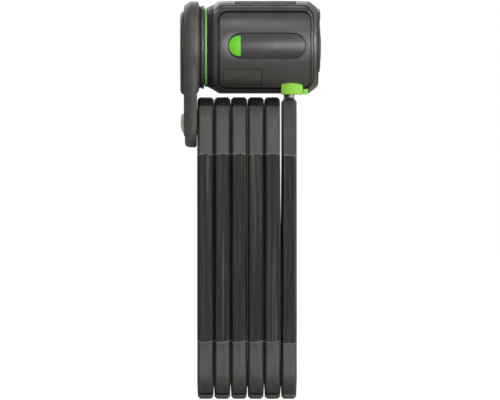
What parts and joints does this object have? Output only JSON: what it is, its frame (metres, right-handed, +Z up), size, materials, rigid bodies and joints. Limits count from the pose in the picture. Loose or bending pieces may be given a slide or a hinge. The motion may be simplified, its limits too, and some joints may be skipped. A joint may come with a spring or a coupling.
{
  "type": "folding bike lock",
  "caption": "Folding bicycle lock: a round lock body on a swivel arm and a chain of riveted steel bars in hard and soft covers, folded up, with a green bolt socket and trim ring.",
  "frame": {"origin": "where the swivel axis of the lock body crosses the middle of its bolt socket, inside the lock body", "axes": "+Z up along the folded bars, +X across the stack from the swivel arm to the keyhole end, +Y to the rear"},
  "size_m": [0.0703, 0.059, 0.199],
  "materials": {
    "casing_plastic": "fine moulded texture, charcoal",
    "panel_plastic": "fine moulded texture, dark grey",
    "badge_plastic": "smooth satin, dark grey",
    "cap_plastic": "satin grey",
    "soft_black": "matt black",
    "green_plastic": "bright green, semi-gloss",
    "end_cover_plastic": "warm grey, matt with moulded grain",
    "sleeve_rubber": "matt black with lengthwise streaks",
    "housing_zinc": "as cast",
    "steel": "zinc plated",
    "rivet_steel": "nickel plated, satin",
    "bolt_steel": "ground, bright",
    "black_steel": "blackened",
    "hardened_steel": "hardened, dark",
    "brass": "machined"
  },
  "bodies": {
    "lock_body": {"lock_core": "housing_zinc", "casing_front": "casing_plastic", "casing_rear": "casing_plastic", "front_panel": "panel_plastic", "badge_plate": "badge_plastic", "badge_inlay": "green_plastic", "left_end_ring": "soft_black", "right_end_cap": "soft_black", "socket_mouthpiece": "green_plastic", "socket_liner": "hardened_steel", "cylinder_sleeve": "brass", "cylinder_retaining_pin": "steel", "swivel_spindle": "steel", "spindle_nut": "steel", "accent_ring": "green_plastic", "neck_ring": "soft_black", "wave_washer": "steel", "casing_screws": "black_steel", "cover_pivot_pin": "steel"},
    "key_plug": {"key_plug": "brass", "detainer_discs": "brass", "drive_cam": "steel"},
    "latch": {"latch_plate": "hardened_steel"},
    "keyhole_cover": {"keyhole_cover": "soft_black"},
    "socket_shutter": {"socket_shutter": "green_plastic"},
    "swivel_arm": {"arm_plate": "black_steel", "arm_cover": "casing_plastic", "arm_cap": "cap_plastic", "arm_rivet": "rivet_steel", "arm_washer": "steel"},
    "bar_1": {"bar_1_core": "black_steel", "bar_1_sleeve": "sleeve_rubber", "bar_1_end_covers": "end_cover_plastic", "rivet_1_2": "rivet_steel", "washer_1_2": "steel"},
    "bar_2": {"bar_2_core": "black_steel", "bar_2_sleeve": "sleeve_rubber", "bar_2_end_covers": "end_cover_plastic", "rivet_2_3": "rivet_steel", "washer_2_3": "steel"},
    "bar_3": {"bar_3_core": "black_steel", "bar_3_sleeve": "sleeve_rubber", "bar_3_end_covers": "end_cover_plastic", "rivet_3_4": "rivet_steel", "washer_3_4": "steel"},
    "bar_4": {"bar_4_core": "black_steel", "bar_4_sleeve": "sleeve_rubber", "bar_4_end_covers": "end_cover_plastic", "rivet_4_5": "rivet_steel", "washer_4_5": "steel"},
    "bar_5": {"bar_5_core": "black_steel", "bar_5_sleeve": "sleeve_rubber", "bar_5_end_covers": "end_cover_plastic", "rivet_5_6": "rivet_steel", "washer_5_6": "steel"},
    "bar_6": {"bar_6_core": "black_steel", "bar_6_sleeve": "sleeve_rubber", "bar_6_end_covers": "end_cover_plastic", "locking_bolt": "bolt_steel"}
  },
  "joints": [
    {"name": "key_turn", "type": "hinge", "parent": "lock_body", "child": "key_plug", "pos_m": [0, 0, 0], "axis": [1, 0, 0], "range_deg": [0, 90]},
    {"name": "latch_slide", "type": "slide", "parent": "lock_body", "child": "latch", "axis": [0, 1, 0], "range_m": [0, 0.00566]},
    {"name": "keyhole_cover_swing", "type": "hinge", "parent": "lock_body", "child": "keyhole_cover", "pos_m": [0.015, 0, 0.0155], "axis": [1, 0, 0], "range_deg": [0, 90]},
    {"name": "socket_shutter_slide", "type": "slide", "parent": "lock_body", "child": "socket_shutter", "axis": [0, 1, 0], "range_m": [0, 0.007]},
    {"name": "body_swivel", "type": "hinge", "parent": "lock_body", "child": "swivel_arm", "pos_m": [0, 0, 0], "axis": [1, 0, 0], "continuous": true},
    {"name": "arm_to_bar_1", "type": "hinge", "parent": "swivel_arm", "child": "bar_1", "pos_m": [-0.04593, 0, -0.0375], "axis": [-1, 0, 0], "range_deg": [0, 100]},
    {"name": "bar_1_to_bar_2", "type": "hinge", "parent": "bar_1", "child": "bar_2", "pos_m": [-0.03757, 0, -0.1633], "axis": [-1, 0, 0], "range_deg": [0, 180]},
    {"name": "bar_2_to_bar_3", "type": "hinge", "parent": "bar_2", "child": "bar_3", "pos_m": [-0.02923, 0, -0.0375], "axis": [-1, 0, 0], "range_deg": [0, 100]},
    {"name": "bar_3_to_bar_4", "type": "hinge", "parent": "bar_3", "child": "bar_4", "pos_m": [-0.02088, 0, -0.1633], "axis": [-1, 0, 0], "range_deg": [0, 180]},
    {"name": "bar_4_to_bar_5", "type": "hinge", "parent": "bar_4", "child": "bar_5", "pos_m": [-0.01252, 0, -0.0375], "axis": [-1, 0, 0], "range_deg": [0, 100]},
    {"name": "bar_5_to_bar_6", "type": "hinge", "parent": "bar_5", "child": "bar_6", "pos_m": [-0.00417, 0, -0.1633], "axis": [-1, 0, 0], "range_deg": [0, 169.5]}
  ],
  "couplings": [
    {"joint": "latch_slide", "follows": "key_turn", "m_per_rad": 0.0036}
  ]
}
